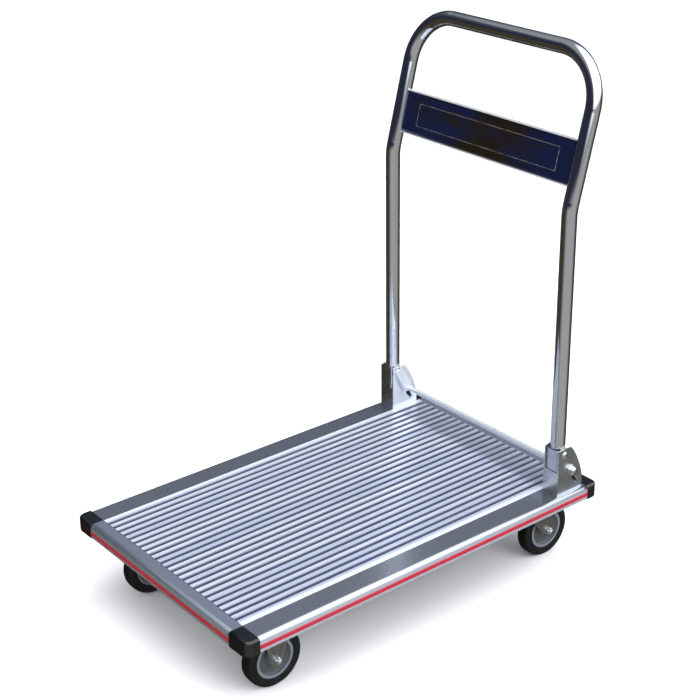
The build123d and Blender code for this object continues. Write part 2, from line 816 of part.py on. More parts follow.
# -------------------------------------------------------------- handle socket
cheek_outer = outer_bracket_face - 0.3
cheek_inner = cheek_outer - socket_wall
web_front = tube_y - tube_radius - 0.1 - socket_wall
with BuildPart() as handle_socket:
    with BuildSketch(Plane.YZ.offset(cheek_inner)) as socket_cheek:
        with BuildLine():
            Polyline(
                (web_front, socket_low),
                (web_front, socket_high),
                (tube_y + socket_rear, socket_high),
                (tube_y + socket_rear, pivot_z - 22.0),
                (tube_y + 8.0, tube_low),
                (tube_y - 8.0, socket_low),
                close=True,
            )
        make_face()
        rear_corner = socket_cheek.vertices().sort_by_distance((tube_y + socket_rear, socket_high, 0))[0]
        fillet(rear_corner, 5.0)
        with Locations((tube_y, pivot_z)):
            Circle(pivot_radius + running_gap, mode=Mode.SUBTRACT)
    extrude(amount=socket_wall)
    with Locations((socket_web_edge, web_front, socket_low)):
        Box(
            cheek_outer - socket_web_edge,
            socket_wall,
            socket_high - socket_low,
            align=(Align.MIN, Align.MIN, Align.MIN),
        )
    front_bend = handle_socket.edges().filter_by(Axis.Z).filter_by(
        lambda e: abs((e @ 0.5).X - cheek_outer) < 0.1 and abs((e @ 0.5).Y - web_front) < 0.1
    )
    fillet(front_bend, 1.4)
save_pair("handle_socket", handle_socket.part)

# ---------------------------------------------------------------- handle tube
lean_rise = bar_height - bend_height
bar_y = tube_y + lean_rise * tan(radians(lean))
with BuildPart() as handle_tube:
    with BuildLine() as tube_path:
        FilletPolyline(
            (-tube_x, tube_y, tube_low),
            (-tube_x, tube_y, bend_height),
            (-tube_x, bar_y, bar_height),
            (tube_x, bar_y, bar_height),
            (tube_x, tube_y, bend_height),
            (tube_x, tube_y, tube_low),
            radius=[bend_radius, corner_radius, corner_radius, bend_radius],
        )
    with BuildSketch(Plane.XY.offset(tube_low)):
        with Locations((-tube_x, tube_y)):
            Circle(tube_radius)
            Circle(tube_radius - tube_wall, mode=Mode.SUBTRACT)
    sweep()
    with Locations(*[Plane((side * tube_x, tube_y, pivot_z), z_dir=(1, 0, 0)) for side in (-1, 1)]):
        Cylinder(pivot_radius + running_gap, 3 * tube_radius, mode=Mode.SUBTRACT)
save("handle_tube", handle_tube.part)

# --------------------------------------------------------------- handle panel
# A sheet between the legs in the leaning part, with rolled long edges and a
# pressed rectangle. Local x runs along X, local y up the lean.
panel_low = 35.0  # distances up the lean from the bend
panel_high = 111.0
panel_thickness = 1.5
roll_radius = 3.0
press_half_length = 165.0
press_low = 52.0
press_high = 92.5
press_height = 1.8
lean_vector = Vector(0, sin(radians(lean)), cos(radians(lean)))
panel_plane = Plane(
    origin=(0, tube_y, bend_height), x_dir=(1, 0, 0), z_dir=Vector(1, 0, 0).cross(lean_vector)
)
with BuildPart() as handle_panel:
    panel_half = tube_x - tube_radius + 0.8
    with BuildSketch(panel_plane):
        with Locations((0, (panel_low + panel_high) / 2)):
            Rectangle(2 * panel_half, panel_high - panel_low - 2 * roll_radius)
    extrude(amount=panel_thickness / 2, both=True)
    for edge in (panel_low + roll_radius, panel_high - roll_radius):
        roll_start = panel_plane.from_local_coords((-panel_half, edge, 0))
        with BuildSketch(Plane(roll_start, x_dir=lean_vector, z_dir=(1, 0, 0))):
            Circle(roll_radius)
        extrude(amount=2 * panel_half)
    # the pressed rectangle stands forward of the sheet
    with BuildSketch(panel_plane.offset(panel_thickness / 2)):
        with Locations((0, (press_low + press_high) / 2)):
            RectangleRounded(2 * press_half_length, press_high - press_low, 4.0)
    extrude(amount=press_height, taper=30)
    # the legs' round surface trims the sheet's ends
    for side in (-1, 1):
        leg_start = Vector(side * tube_x, tube_y, bend_height)
        with BuildSketch(Plane(leg_start, z_dir=lean_vector)):
            Circle(tube_radius + 0.02)
        extrude(amount=160.0, mode=Mode.SUBTRACT)
save("handle_panel", handle_panel.part)

# ------------------------------------------------------------------- lock bar
shoulder_x = bracket_inner - 0.4
with BuildPart() as lock_bar:
    with BuildSketch(Plane.XY):
        with BuildLine():
            Polyline(
                (0, 0),
                (0, rod_radius),
                (shoulder_x - 0.8, rod_radius),
                (shoulder_x, rod_radius - 0.8),
                (shoulder_x, rod_end_radius),
                (bracket_outer + 8.0, rod_end_radius),
                (bracket_outer + 8.0, 0),
                close=True,
            )
        make_face()
    revolve(axis=Axis.X)
    mirror(about=Plane.YZ)
save("lock_bar", lock_bar.part.moved(Location((0, rod_y, rod_z))))

washer_face = bracket_outer + 0.3
washer_thickness = 1.6
nut_face = washer_face + washer_thickness
washer_radius = 9.6
dome_hex_radius = 8.6
dome_radius = 7.2
dome_hex_height = 4.4
dome_height = 4.6
with BuildPart() as dome_nut:
    with BuildSketch(Plane.YZ.offset(washer_face)):
        Circle(washer_radius)
        Circle(rod_end_radius, mode=Mode.SUBTRACT)
    extrude(amount=washer_thickness)
    with BuildSketch(Plane.YZ.offset(nut_face)):
        RegularPolygon(dome_hex_radius, 6)
    extrude(amount=dome_hex_height)
    with BuildSketch(Plane.XY):
        with BuildLine():
            dome_face = nut_face + dome_hex_height
            dome_tip = dome_face + dome_height
            Line((dome_face - 1.0, 0), (dome_face - 1.0, dome_radius))
            Line((dome_face - 1.0, dome_radius), (dome_face, dome_radius))
            ThreePointArc((dome_face, dome_radius), (dome_face + 3.2, 5.2), (dome_tip, 1.5))
            Line((dome_tip, 1.5), (dome_tip, 0))
            Line((dome_tip, 0), (dome_face - 1.0, 0))
        make_face()
    revolve(axis=Axis.X)
    with BuildSketch(Plane.YZ.offset(washer_face)):
        Circle(rod_end_radius)
    extrude(amount=bracket_outer + 8.0 - washer_face, mode=Mode.SUBTRACT)
right_nut = dome_nut.part.moved(Location((0, rod_y, rod_z)))
save_group("lock_bar_nuts", [right_nut.solid(), mirrored(right_nut).solid()])

# -------------------------------------------------- spring covers and springs
# Local z runs down the cover from its narrow top, local x towards the deck's
# middle, so the back lies open on the bracket's inner face.
cover_length = 44.0
cover_start = Vector(bracket_inner, tube_y, pivot_z) - slot_direction * 7.0
cover_plane = Plane(origin=cover_start, x_dir=(-1, 0, 0), z_dir=slot_direction)


def cover_section(distance, depth, width, corner):
    with BuildSketch(cover_plane.offset(distance)) as section:
        Rectangle(depth, width, align=(Align.MIN, Align.CENTER))
        fillet(section.vertices().sort_by(Axis.X)[-2:], corner)
    return section.sketch


with BuildPart() as spring_cover:
    loft([cover_section(0, 4.6, 14.5, 1.8), cover_section(cover_length, 14.0, 21.0, 4.0)])
    loft(
        [cover_section(-0.5, 3.4, 12.5, 1.0), cover_section(cover_length + 0.5, 12.8, 18.6, 3.0)],
        mode=Mode.SUBTRACT,
    )
    # open fork for the rod's travel
    with BuildSketch(Plane.YZ.offset(bracket_inner)):
        with Locations(slot_middle):
            SlotCenterToCenter(slot_length, 2 * rod_radius + 0.8, rotation=slot_angle)
    extrude(amount=-20.0, mode=Mode.SUBTRACT)
save_pair("spring_cover", spring_cover.part)

spring_x = bracket_inner - 3.8
wire = 1.0
coil_radius = 2.2
coil_count = 14
spring_plane = Plane(
    origin=Vector(spring_x, tube_y, pivot_z) + slot_direction * 10.5,
    x_dir=(1, 0, 0),
    z_dir=slot_direction,
)
with BuildPart() as lock_spring:
    with BuildSketch(Plane(spring_plane.origin, x_dir=spring_plane.x_dir, z_dir=spring_plane.y_dir)):
        for turn in range(coil_count):
            with Locations((coil_radius, -turn * wire * 1.4)):
                Circle(wire * 0.78)
        with Locations((coil_radius, -(coil_count - 1) * wire * 0.7)):
            Rectangle(wire * 0.8, (coil_count - 1) * wire * 1.4)
    revolve(axis=Axis(spring_plane.origin, spring_plane.z_dir))
save_group("lock_springs", [lock_spring.part.solid(), mirrored(lock_spring.part).solid()])
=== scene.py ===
import json
import math

import bmesh
import bpy
from mathutils import Matrix, Vector


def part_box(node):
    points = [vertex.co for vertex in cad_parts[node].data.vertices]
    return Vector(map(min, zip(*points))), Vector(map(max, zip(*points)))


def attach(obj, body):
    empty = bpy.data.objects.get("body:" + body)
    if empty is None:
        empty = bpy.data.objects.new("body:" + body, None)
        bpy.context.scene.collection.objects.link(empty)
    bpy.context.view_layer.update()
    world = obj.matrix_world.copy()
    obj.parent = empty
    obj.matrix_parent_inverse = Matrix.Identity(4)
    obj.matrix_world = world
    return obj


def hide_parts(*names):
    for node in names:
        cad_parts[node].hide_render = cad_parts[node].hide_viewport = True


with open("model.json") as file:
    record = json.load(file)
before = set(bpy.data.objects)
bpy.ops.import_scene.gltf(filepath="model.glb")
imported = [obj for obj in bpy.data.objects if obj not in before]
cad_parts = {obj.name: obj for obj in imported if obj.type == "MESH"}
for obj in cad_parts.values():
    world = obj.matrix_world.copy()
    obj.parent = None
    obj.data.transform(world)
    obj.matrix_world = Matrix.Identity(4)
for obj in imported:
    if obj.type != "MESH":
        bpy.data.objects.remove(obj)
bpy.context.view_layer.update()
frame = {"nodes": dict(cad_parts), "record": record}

nodes = frame["nodes"]
print("frame loaded:", len(nodes), "nodes")


class Wire:  # a socket that can be used in sums, each adding its Math node
    def __init__(self, tree, socket):
        self.tree = tree
        self.socket = socket

    def math(self, operation, first, second=None):
        node = self.tree.nodes.new("ShaderNodeMath")
        node.operation = operation
        for slot, value in zip(node.inputs, (first, second)):
            if isinstance(value, Wire):
                self.tree.links.new(value.socket, slot)
            elif value is not None:
                slot.default_value = value
        return Wire(self.tree, node.outputs[0])

    def __add__(self, other): return self.math("ADD", self, other)
    def __radd__(self, other): return self.math("ADD", other, self)
    def __sub__(self, other): return self.math("SUBTRACT", self, other)
    def __rsub__(self, other): return self.math("SUBTRACT", other, self)
    def __mul__(self, other): return self.math("MULTIPLY", self, other)
    def __rmul__(self, other): return self.math("MULTIPLY", other, self)
    def __truediv__(self, other): return self.math("DIVIDE", self, other)
    def __rtruediv__(self, other): return self.math("DIVIDE", other, self)
    def __abs__(self): return self.math("ABSOLUTE", self)

    def larger(self, other):
        return self.math("MAXIMUM", self, other)

    def output(self, name):  # another output of the same node
        return Wire(self.tree, self.socket.node.outputs[name])


class Shades:  # a node tree, built up with put()
    def __init__(self, owner):
        owner.use_nodes = True
        self.tree = owner.node_tree
        self.tree.nodes.clear()

    def put(self, kind, settings=None, sockets=None, output=0):
        node = self.tree.nodes.new(kind)
        for name, value in (settings or {}).items():
            setattr(node, name, value)
        for name, value in (sockets or {}).items():
            slot = node.inputs[name]
            if isinstance(value, Wire):
                self.tree.links.new(value.socket, slot)
            elif isinstance(value, tuple) and len(value) == 3 and slot.type == "RGBA":
                slot.default_value = (*value, 1)
            else:
                slot.default_value = value
        return Wire(self.tree, node.outputs[output]) if node.outputs else None

    def step(self, value, low, high):  # smooth 0..1 between low and high
        return self.put(
            "ShaderNodeMapRange", {"interpolation_type": "SMOOTHSTEP"},
            {"Value": value, "From Min": low, "From Max": high})

    def blend(self, factor, first, second):
        node = self.tree.nodes.new("ShaderNodeMix")
        node.data_type = "RGBA"
        for slot, value in zip((node.inputs[0], node.inputs[6], node.inputs[7]), (factor, first, second)):
            if isinstance(value, Wire):
                self.tree.links.new(value.socket, slot)
            else:
                slot.default_value = value if isinstance(value, float) else (*value, 1)
        return Wire(self.tree, node.outputs[2])


class Finish(Shades):  # one material, closed with shade()
    def __init__(self, name):
        self.material = bpy.data.materials.new(name)
        super().__init__(self.material)

    def place(self, scale=(1, 1, 1)):  # the object's own coordinates, stretched
        coordinates = self.put("ShaderNodeTexCoord", output="Object")
        return self.put("ShaderNodeMapping", None, {"Vector": coordinates, "Scale": scale})

    def axes(self):
        coordinates = self.put("ShaderNodeTexCoord", output="Object")
        x = self.put("ShaderNodeSeparateXYZ", None, {"Vector": coordinates})
        return x, x.output("Y"), x.output("Z")

    def noise(self, scale, stretch=(1, 1, 1), detail=4.0, roughness=0.5):
        return self.put(
            "ShaderNodeTexNoise", None,
            {"Vector": self.place(stretch), "Scale": scale, "Detail": detail, "Roughness": roughness})

    def bump(self, height, distance, strength=1.0):
        return self.put(
            "ShaderNodeBump", None, {"Height": height, "Distance": distance, "Strength": strength})

    def shade(self, **sockets):
        surface = self.put("ShaderNodeBsdfPrincipled", None, {
            name.replace("_", " "): value for name, value in sockets.items()})
        self.put("ShaderNodeOutputMaterial", None, {"Surface": surface})
        return self.material


mm = 0.001

# lengths are in millimetres in the pieces' and finishes' dictionaries, angles in degrees
tubeShape = {
    "radius": 12.7, "inner": 11.2, "legX": 211.5, "legY": 294.3, "low": 194.0,
    "bendZ": 645.8, "barY": 355.839, "barZ": 880.7, "bendRadius": 95.0, "cornerRadius": 85.0,
    "around": 64, "markDepth": 0.08, "markRows": ((-1.6, 0), (-0.7, 1), (0.7, 1), (1.6, 0)),
    "plugDepth": 40.0}

panelShape = {
    "low": 35.0, "high": 111.0, "thick": 1.5, "roll": 3.0, "rollSweep": 332.0, "rollSteps": 18,
    "end": 199.4, "lean": 14.68, "pressX": 165.0, "pressLow": 52.0, "pressHigh": 92.5,
    "pressCorner": 5.0, "pressRise": 1.75, "pressSlope": 2.6, "fine": 0.65, "fineReach": 4.0}

plankLook = {
    "ribColour": (0.93, 0.96, 1.0), "dullColour": (0.50, 0.58, 0.78), "grooveShadeColour": (0.060, 0.065, 0.12),
    "rearReflectionColour": (0.25, 0.24, 0.27), "rearReflectionFrom": 272.0, "rearReflectionTo": 288.0,
    "pitch": 15.5, "metal": 0.54, "roughness": 0.30}


def makePlankFinish():
    f = Finish("ribbed_plank")
    look = plankLook
    x, y, z = f.axes()
    streaks = f.noise(1.0, (900, 4, 900), 3.0, 0.6)
    cloud = f.noise(9.0, (1, 1, 1), 3.0)
    perRib = f.noise(1.0, (42, 1.5, 1), 1.0)  # changes from one rib to the next
    # 0 on a rib's middle line, -0.5 and 0.5 midway to its neighbours
    phase = x / (look["pitch"] * mm) + (perRib - 0.5) * 0.3 + 0.5
    across = phase.math("FRACT", phase) - 0.5
    # painted shade: the grooves between ribs and the rib flanks are darkened, further up the +X flank than
    # the -X flank
    flankShade = f.step(across, 0.10, 0.34).larger(f.step(across, -0.30, -0.44))
    grooveShade = f.step(z, 148.90 * mm, 148.45 * mm).larger(flankShade * (1.10 - perRib * 0.5))
    tone = f.blend(f.step(streaks, 0.38, 0.62) * 0.5 + cloud * 0.2, look["ribColour"], look["dullColour"])
    tone = f.blend(f.step(perRib, 0.56, 0.40) * 0.6, tone, look["dullColour"])
    # painted dark reflection over the deck's rear strip
    tone = f.blend(f.step(y, look["rearReflectionFrom"] * mm, look["rearReflectionTo"] * mm) * 0.40, tone, look["rearReflectionColour"])
    colour = f.blend(grooveShade, tone, look["grooveShadeColour"])
    rough = streaks * 0.14 + cloud * 0.10 + look["roughness"] - 0.10 + grooveShade * 0.2
    normal = f.bump(streaks, 0.00008, 0.3)
    return f.shade(Base_Color=colour, Metallic=look["metal"], Roughness=rough, Normal=normal)


railLook = {
    "colour": (0.58, 0.61, 0.68), "faceSatinAndReflection": (0.47, 0.46, 0.53), "lipHighlightAndNickColour": (0.86, 0.90, 0.98),
    "metal": 0.94, "roughness": 0.22}
endRailLook = {
    "colour": (0.60, 0.66, 0.78), "faceSatinAndReflection": (0.17, 0.16, 0.12), "lipHighlightAndNickColour": (0.56, 0.62, 0.74),
    "metal": 0.90, "roughness": 0.28}


def makeRailFinish(name, look, run, outer):
    # run: the axis of the drawn streaks, outer: millimetres from the cart's middle to the outer face
    f = Finish(name)
    streaks = f.noise(1.0, [5 if axis == run else 500 for axis in "xyz"], 2.0, 0.5)
    cloud = f.noise(7.0, (1, 1, 1), 3.0)
    colour = f.blend(streaks * 0.3 + cloud * 0.4, look["colour"], tuple(c * 0.84 for c in look["colour"]))
    lip = f.step(f.axes()[2], 148.3 * mm, 148.8 * mm)  # the raised lips beside the planks, coloured bright as a painted highlight
    across = f.axes()[0 if run == "y" else 1]
    # the outer face: on the side rails a greyer, less metallic satin face, on the end rails a dark brown
    # painted reflection
    face = f.step(abs(across), (outer - 2.4) * mm, (outer - 0.8) * mm)
    nicks = f.step(f.noise(1.0, (260, 110, 1), 2.0), 0.72, 0.77) * f.step(cloud, 0.40, 0.60)
    # the nicks are real wear, in the same pale colour as the painted lip highlight
    colour = f.blend(nicks * 0.6, colour, look["lipHighlightAndNickColour"])
    colour = f.blend(lip, colour, look["lipHighlightAndNickColour"])
    colour = f.blend(face, colour, look["faceSatinAndReflection"])
    rough = streaks * 0.08 + cloud * 0.08 + look["roughness"] - 0.06 + (lip + face + nicks) * 0.15
    normal = f.bump(streaks, 0.00003, 0.12)
    return f.shade(
        Base_Color=colour, Metallic=look["metal"] - lip.larger(face) * 0.45, Roughness=rough, Normal=normal)


stripLook = {"colour": (0.32, 0.009, 0.024), "dusty": (0.38, 0.035, 0.05), "roughness": 0.34}


def makeStripFinish():
    f = Finish("bumper_strip")
    dust = f.noise(60.0, (1, 1, 1), 5.0)
    colour = f.blend(dust * 0.25, stripLook["colour"], stripLook["dusty"])
    rough = dust * 0.2 + stripLook["roughness"] - 0.1
    normal = f.bump(f.noise(900.0), 0.00005, 0.3)
    return f.shade(Base_Color=colour, Roughness=rough, Specular_IOR_Level=0.25, Normal=normal)


capLook = {"colour": (0.003, 0.003, 0.004), "scuffed": (0.016, 0.016, 0.018), "roughness": 0.26}


def makeCapFinish():
    f = Finish("corner_cap")
    grain = f.noise(1400.0, (1, 1, 1), 2.0)
    scuff = f.noise(35.0, (1, 1, 1), 6.0, 0.7)
    colour = f.blend(f.step(scuff, 0.5, 0.8) * 0.5, capLook["colour"], capLook["scuffed"])
    rough = scuff * 0.2 + capLook["roughness"] - 0.1
    return f.shade(
        Base_Color=colour, Roughness=rough, Specular_IOR_Level=0.15, Coat_Weight=1.0,
        Coat_Roughness=0.16, Coat_IOR=1.6, Normal=f.bump(grain, 0.00003, 0.3))


zincLook = {
    "bright": (0.74, 0.78, 0.83), "dull": (0.52, 0.54, 0.53),
    "paleSide": (0.64, 0.71, 0.79), "roughness": 0.30}


def makeZincFinish(
        name, bright=zincLook["bright"], dull=zincLook["dull"], roughness=zincLook["roughness"],
        paleSideFrom=None):
    f = Finish(name)
    cloud = f.noise(38.0, (1, 1, 1), 5.0, 0.6)
    grain = f.noise(700.0, (1, 1, 1), 3.0)
    colour = f.blend(f.step(cloud, 0.35, 0.7), bright, dull)
    rough = cloud * 0.18 + grain * 0.08 + roughness - 0.12
    metal = 1.0
    if paleSideFrom is not None:  # paler and less metallic from this y on
        paleSide = f.step(f.axes()[1], paleSideFrom, paleSideFrom + 3 * mm)
        colour = f.blend(paleSide, colour, f.blend(cloud, zincLook["paleSide"], bright))
        metal = 1.0 - paleSide * 0.45
    return f.shade(Base_Color=colour, Metallic=metal, Roughness=rough, Normal=f.bump(grain, 0.00005, 0.35))


chromeLook = {"colour": (0.86, 0.88, 0.92), "smeared": (0.74, 0.77, 0.83), "roughness": 0.07}


def makeChromeFinish():
    f = Finish("chrome_tube")
    smear = f.noise(24.0, (1, 1, 1), 5.0, 0.6)
    lines = f.noise(1.0, (3000, 3000, 12), 2.0)
    colour = f.blend(smear * 0.3, chromeLook["colour"], chromeLook["smeared"])
    rough = smear * 0.06 + lines * 0.05 + chromeLook["roughness"] - 0.04
    return f.shade(Base_Color=colour, Metallic=1.0, Roughness=rough, Normal=f.bump(lines, 0.00003, 0.25))


# the middle and end colours are painted reflections, the pale and gold edge colours are painted highlights
# and reflections
panelLook = {
    "middle": (0.010, 0.007, 0.002), "ends": (0.005, 0.008, 0.030), "wearAndHighlight": (0.62, 0.61, 0.62),
    "goldReflection": (0.30, 0.19, 0.06), "roughness": 0.12}


def makePanelFinish():
    f = Finish("dark_panel")
    p = panelShape
    x, y, z = f.axes()
    # distance up the lean from the bend, then how far outside the pressed rectangle
    lean = math.radians(p["lean"])
    up = (y - tubeShape["legY"] * mm) * math.sin(lean) + (z - tubeShape["bendZ"] * mm) * math.cos(lean)
    middle, half = (p["pressLow"] + p["pressHigh"]) / 2, (p["pressHigh"] - p["pressLow"]) / 2
    outside = (abs(x) - (p["pressX"] - 1.0) * mm).larger(abs(up - middle * mm) - (half - 1.0) * mm)
    rim = f.step(abs(outside), 0.9 * mm, 0.2 * mm)
    roll = f.step(abs(up - (p["low"] + p["high"]) / 2 * mm), 35.0 * mm, 35.5 * mm)
    smear = f.noise(9.0, (1, 2.5, 2.5), 3.0, 0.5)
    scuff = f.noise(160.0, (1, 1, 1), 5.0, 0.7)
    # partly wear, partly painted highlight: pale lines along the pressed rim and the rolled edges, broken
    # up by scuffs
    wearAndHighlight = rim * f.step(scuff, 0.35, 0.75) * 0.5 + roll * f.step(scuff, 0.15, 0.4) * 0.9
    # painted reflection: dark brown across the middle, navy towards both ends
    ends = f.step(abs(x) + (smear - 0.5) * 0.5, 0.0, 0.15)
    colour = f.blend(ends, panelLook["middle"], panelLook["ends"])
    # the upper rim line is a gold painted reflection
    edge = f.blend(rim * f.step(up, 84 * mm, 90 * mm), panelLook["wearAndHighlight"], panelLook["goldReflection"])
    colour = f.blend(wearAndHighlight, colour, edge)
    rough = smear * 0.12 + panelLook["roughness"] - 0.05 + wearAndHighlight * 0.15
    return f.shade(
        Base_Color=colour, Metallic=wearAndHighlight * 0.35, Roughness=rough, Coat_Weight=0.5, Coat_Roughness=0.08,
        Normal=f.bump(f.noise(25.0, (1, 1, 1), 1.0), 0.00008, 0.2))


tyreLook = {"colour": (0.0045, 0.0045, 0.0045), "dusty": (0.018, 0.017, 0.015), "roughness": 0.55}


def makeTyreFinish():
    f = Finish("tyre")
    grain = f.noise(900.0, (1, 1, 1), 3.0)
    dust = f.noise(45.0, (1, 1, 1), 6.0, 0.7)
    colour = f.blend(f.step(dust, 0.45, 0.8) * 0.6, tyreLook["colour"], tyreLook["dusty"])
    rough = dust * 0.2 + tyreLook["roughness"] - 0.1
    return f.shade(
        Base_Color=colour, Roughness=rough, Specular_IOR_Level=0.3, Normal=f.bump(grain, 0.00010, 0.5))


hubLook = {
    "colour": (0.135, 0.15, 0.175), "dishShade": (0.060, 0.064, 0.066), "dusty": (0.09, 0.10, 0.115),
    "wheelX": 169.0, "roughness": 0.45}


def makeHubFinish():
    f = Finish("wheel_hub")
    grain = f.noise(1200.0, (1, 1, 1), 2.0)
    dust = f.noise(40.0, (1, 1, 1), 6.0, 0.7)
    colour = f.blend(f.step(dust, 0.4, 0.8) * 0.5, hubLook["colour"], hubLook["dusty"])
    # the dish between boss and rim is painted darker as shade: how far from the wheel's middle plane
    depth = abs(abs(f.axes()[0]) - hubLook["wheelX"] * mm)
    colour = f.blend(f.step(depth, 6.5 * mm, 3.8 * mm), colour, hubLook["dishShade"])
    rough = dust * 0.2 + hubLook["roughness"] - 0.1
    return f.shade(Base_Color=colour, Roughness=rough, Normal=f.bump(grain, 0.00006, 0.5))


finishes = {
    "ribbed_plank": makePlankFinish(),
    "edge_rail": makeRailFinish("edge_rail", railLook, "y", 240.0),
    "bumper_strip": makeStripFinish(),
    "corner_cap": makeCapFinish(),
    "galvanised_tray": makeZincFinish("galvanised_tray", (0.55, 0.57, 0.60), (0.42, 0.44, 0.46), 0.42),
    "plated_fastener": makeZincFinish("plated_fastener", (0.80, 0.82, 0.84), (0.62, 0.63, 0.62), 0.22),
    "spring_wire": makeZincFinish("spring_wire", (0.30, 0.30, 0.31), (0.18, 0.18, 0.18), 0.35),
    "zinc_bracket": makeZincFinish("zinc_bracket"),
    "zinc_fork": makeZincFinish("zinc_fork", (0.44, 0.44, 0.42), (0.33, 0.33, 0.30), 0.34),
    "ground_steel": makeZincFinish("ground_steel", (0.70, 0.70, 0.70), (0.55, 0.55, 0.55), 0.18),
    "chrome_tube": makeChromeFinish(),
    "chrome_rod": makeZincFinish("chrome_rod", paleSideFrom=0.0),
    "dark_panel": makePanelFinish(),
    "tyre": makeTyreFinish(),
    "wheel_hub": makeHubFinish(),
}
# a paler, less metallic copy of the bracket zinc: painted light for the left bracket
litZincFinish = makeZincFinish("zinc_bracket_painted_lit", paleSideFrom=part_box("hinge_bracket_left")[0].y)
endRailFinish = makeRailFinish("end_rail", endRailLook, "x", 370.0)
for part in frame["record"]["subparts"]:
    node = nodes[part["node"]]
    node.data.materials.clear()
    node.data.materials.append(finishes[part["material_slot"]])
    if part["node"].startswith("end_rail_") and "screws" not in part["node"]:
        node.data.materials[0] = endRailFinish
    if part["node"] in ("hinge_bracket_left", "spring_cover_left"):  # painted light: the left bracket and its spring cover take a paler, lit copy of the zinc
        node.data.materials[0] = litZincFinish
print("finishes made:", len(finishes) + 2)


def makePiece(name, points, faces, finish, body, *replaced, sharp=32):
    mesh = bpy.data.meshes.new(name)
    mesh.from_pydata(points, [], faces)
    shape = bmesh.new()
    shape.from_mesh(mesh)
    bmesh.ops.recalc_face_normals(shape, faces=shape.faces)
    shape.to_mesh(mesh)
    shape.free()
    mesh.polygons.foreach_set("use_smooth", [True] * len(mesh.polygons))
    mesh.set_sharp_from_angle(angle=math.radians(sharp))
    mesh.materials.append(finishes[finish])
    piece = bpy.data.objects.new(name, mesh)
    bpy.context.scene.collection.objects.link(piece)
    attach(piece, body)
    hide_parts(*replaced)
    return piece


def hexReach(angle, apothem):  # distance from a hexagon's middle to its side
    turn = (angle + math.pi / 6) % (math.pi / 3) - math.pi / 6
    return apothem / math.cos(turn)


def turned(rows, centre, direction=1, steps=96, closed=True):
    # a body of revolution about X: rows of (along, radius) or (along, radius, apothem) in millimetres
    points, faces = [], []
    for i in range(steps):
        angle = 2 * math.pi * i / steps
        for row in rows:
            reach = min(row[1], hexReach(angle, row[2])) if len(row) > 2 else row[1]
            points.append((
                centre[0] + direction * row[0] * mm,
                centre[1] + reach * math.cos(angle) * mm,
                centre[2] + reach * math.sin(angle) * mm))
    count = len(rows)
    for i in range(steps):
        for j in range(count if closed else count - 1):
            k = (j + 1) % count
            following = (i + 1) % steps * count
            faces.append((i * count + j, i * count + k, following + k, following + j))
    return points, faces


def joined(*meshes):
    points, faces = [], []
    for extraPoints, extraFaces in meshes:
        shift = len(points)
        points += extraPoints
        faces += [tuple(index + shift for index in face) for face in extraFaces]
    return points, faces


def arc(centre, radius, start, end, steps=6):  # points of an arc, angles in degrees
    return [(
        centre[0] + radius * math.cos(math.radians(start + (end - start) * i / steps)),
        centre[1] + radius * math.sin(math.radians(start + (end - start) * i / steps)))
        for i in range(steps + 1)]


def bothSides(half):  # a profile's left half, then its mirror image
    return half + [(-along, radius) for along, radius in reversed(half)]


tyreShape = {"halfWidth": 12.0, "radius": 50.0, "bead": 34.7, "shoulder": 5.2, "lineDepth": 0.45}


def makeTyre(side, end):
    low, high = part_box(f"{end}_tyre_{side}")
    w, r, d = tyreShape["halfWidth"], tyreShape["radius"], tyreShape["lineDepth"]
    corner = tyreShape["shoulder"]
    half = [(-w + 1.0, tyreShape["bead"]), (-w + 0.7, 35.6), (-w + 0.25, 37.5), (-w + 0.05, 40.0)]
    half += [(-w, 41.6), (-w + d, 41.9), (-w + d, 42.5), (-w, 42.8)]
    half += arc((-w + corner, r - corner - 0.3), corner, 180, 100, 10)
    half += [(-w + corner + 0.4, r - 0.25), (-w + corner + 0.7, r - 0.25 - d)]
    half += [(-w + corner + 1.3, r - 0.2 - d), (-w + corner + 1.6, r - 0.18), (-3.0, r - 0.04), (-0.6, r)]
    points, faces = turned(bothSides(half), (low + high) / 2, steps=128)
    makePiece(f"tyre_{end}_{side}", points, faces, "tyre", f"{end}_wheel_{side}", f"{end}_tyre_{side}")


hubShape = {
    "halfWidth": 13.5, "rimWidth": 11.0, "bore": 6.1, "boss": 11.5, "web": 3.0, "rimInner": 29.5,
    "rimLip": 1.4, "rimCorner": 1.2, "tyreSeat": 33.4}


def makeHub(side, end):
    low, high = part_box(f"{end}_wheel_hub_{side}")
    h, w, boss = hubShape["halfWidth"], hubShape["rimWidth"], hubShape["boss"]
    web, inner = hubShape["web"], hubShape["rimInner"]
    lip, corner, seat = hubShape["rimLip"], hubShape["rimCorner"], hubShape["tyreSeat"]
    half = [(-h, hubShape["bore"] + 0.5), (-h, boss - 1.0)] + arc((-h + 1.0, boss - 1.0), 1.0, 180, 90, 5)
    half += arc((-web - 3.0, boss + 3.0), 3.0, 270, 360, 6)
    half += [(-web - 0.1, boss + 5.0), (-web - 0.5, inner - 5.0)]
    half += arc((-web - 4.0, inner - 3.6), 3.6, 0, 90, 6)
    half += arc((-w + lip, inner + lip), lip, 270, 180, 6) + [(-w, seat)]
    half += arc((-w + corner, seat), corner, 180, 90, 4)
    half = [(-h + 0.5, hubShape["bore"])] + half
    points, faces = turned(bothSides(half), (low + high) / 2, steps=128)
    makePiece(
        f"wheel_hub_{end}_{side}", points, faces, "wheel_hub",
        f"{end}_wheel_{side}", f"{end}_wheel_hub_{side}")


axleShape = {
    "face": 17.0, "apothem": 6.45, "corner": 7.45, "shank": 3.95, "head": 5.3, "hex": 5.0, "end": 8.4,
    "collar": 5.7, "collarBend": 1.1, "endRound": 1.6}


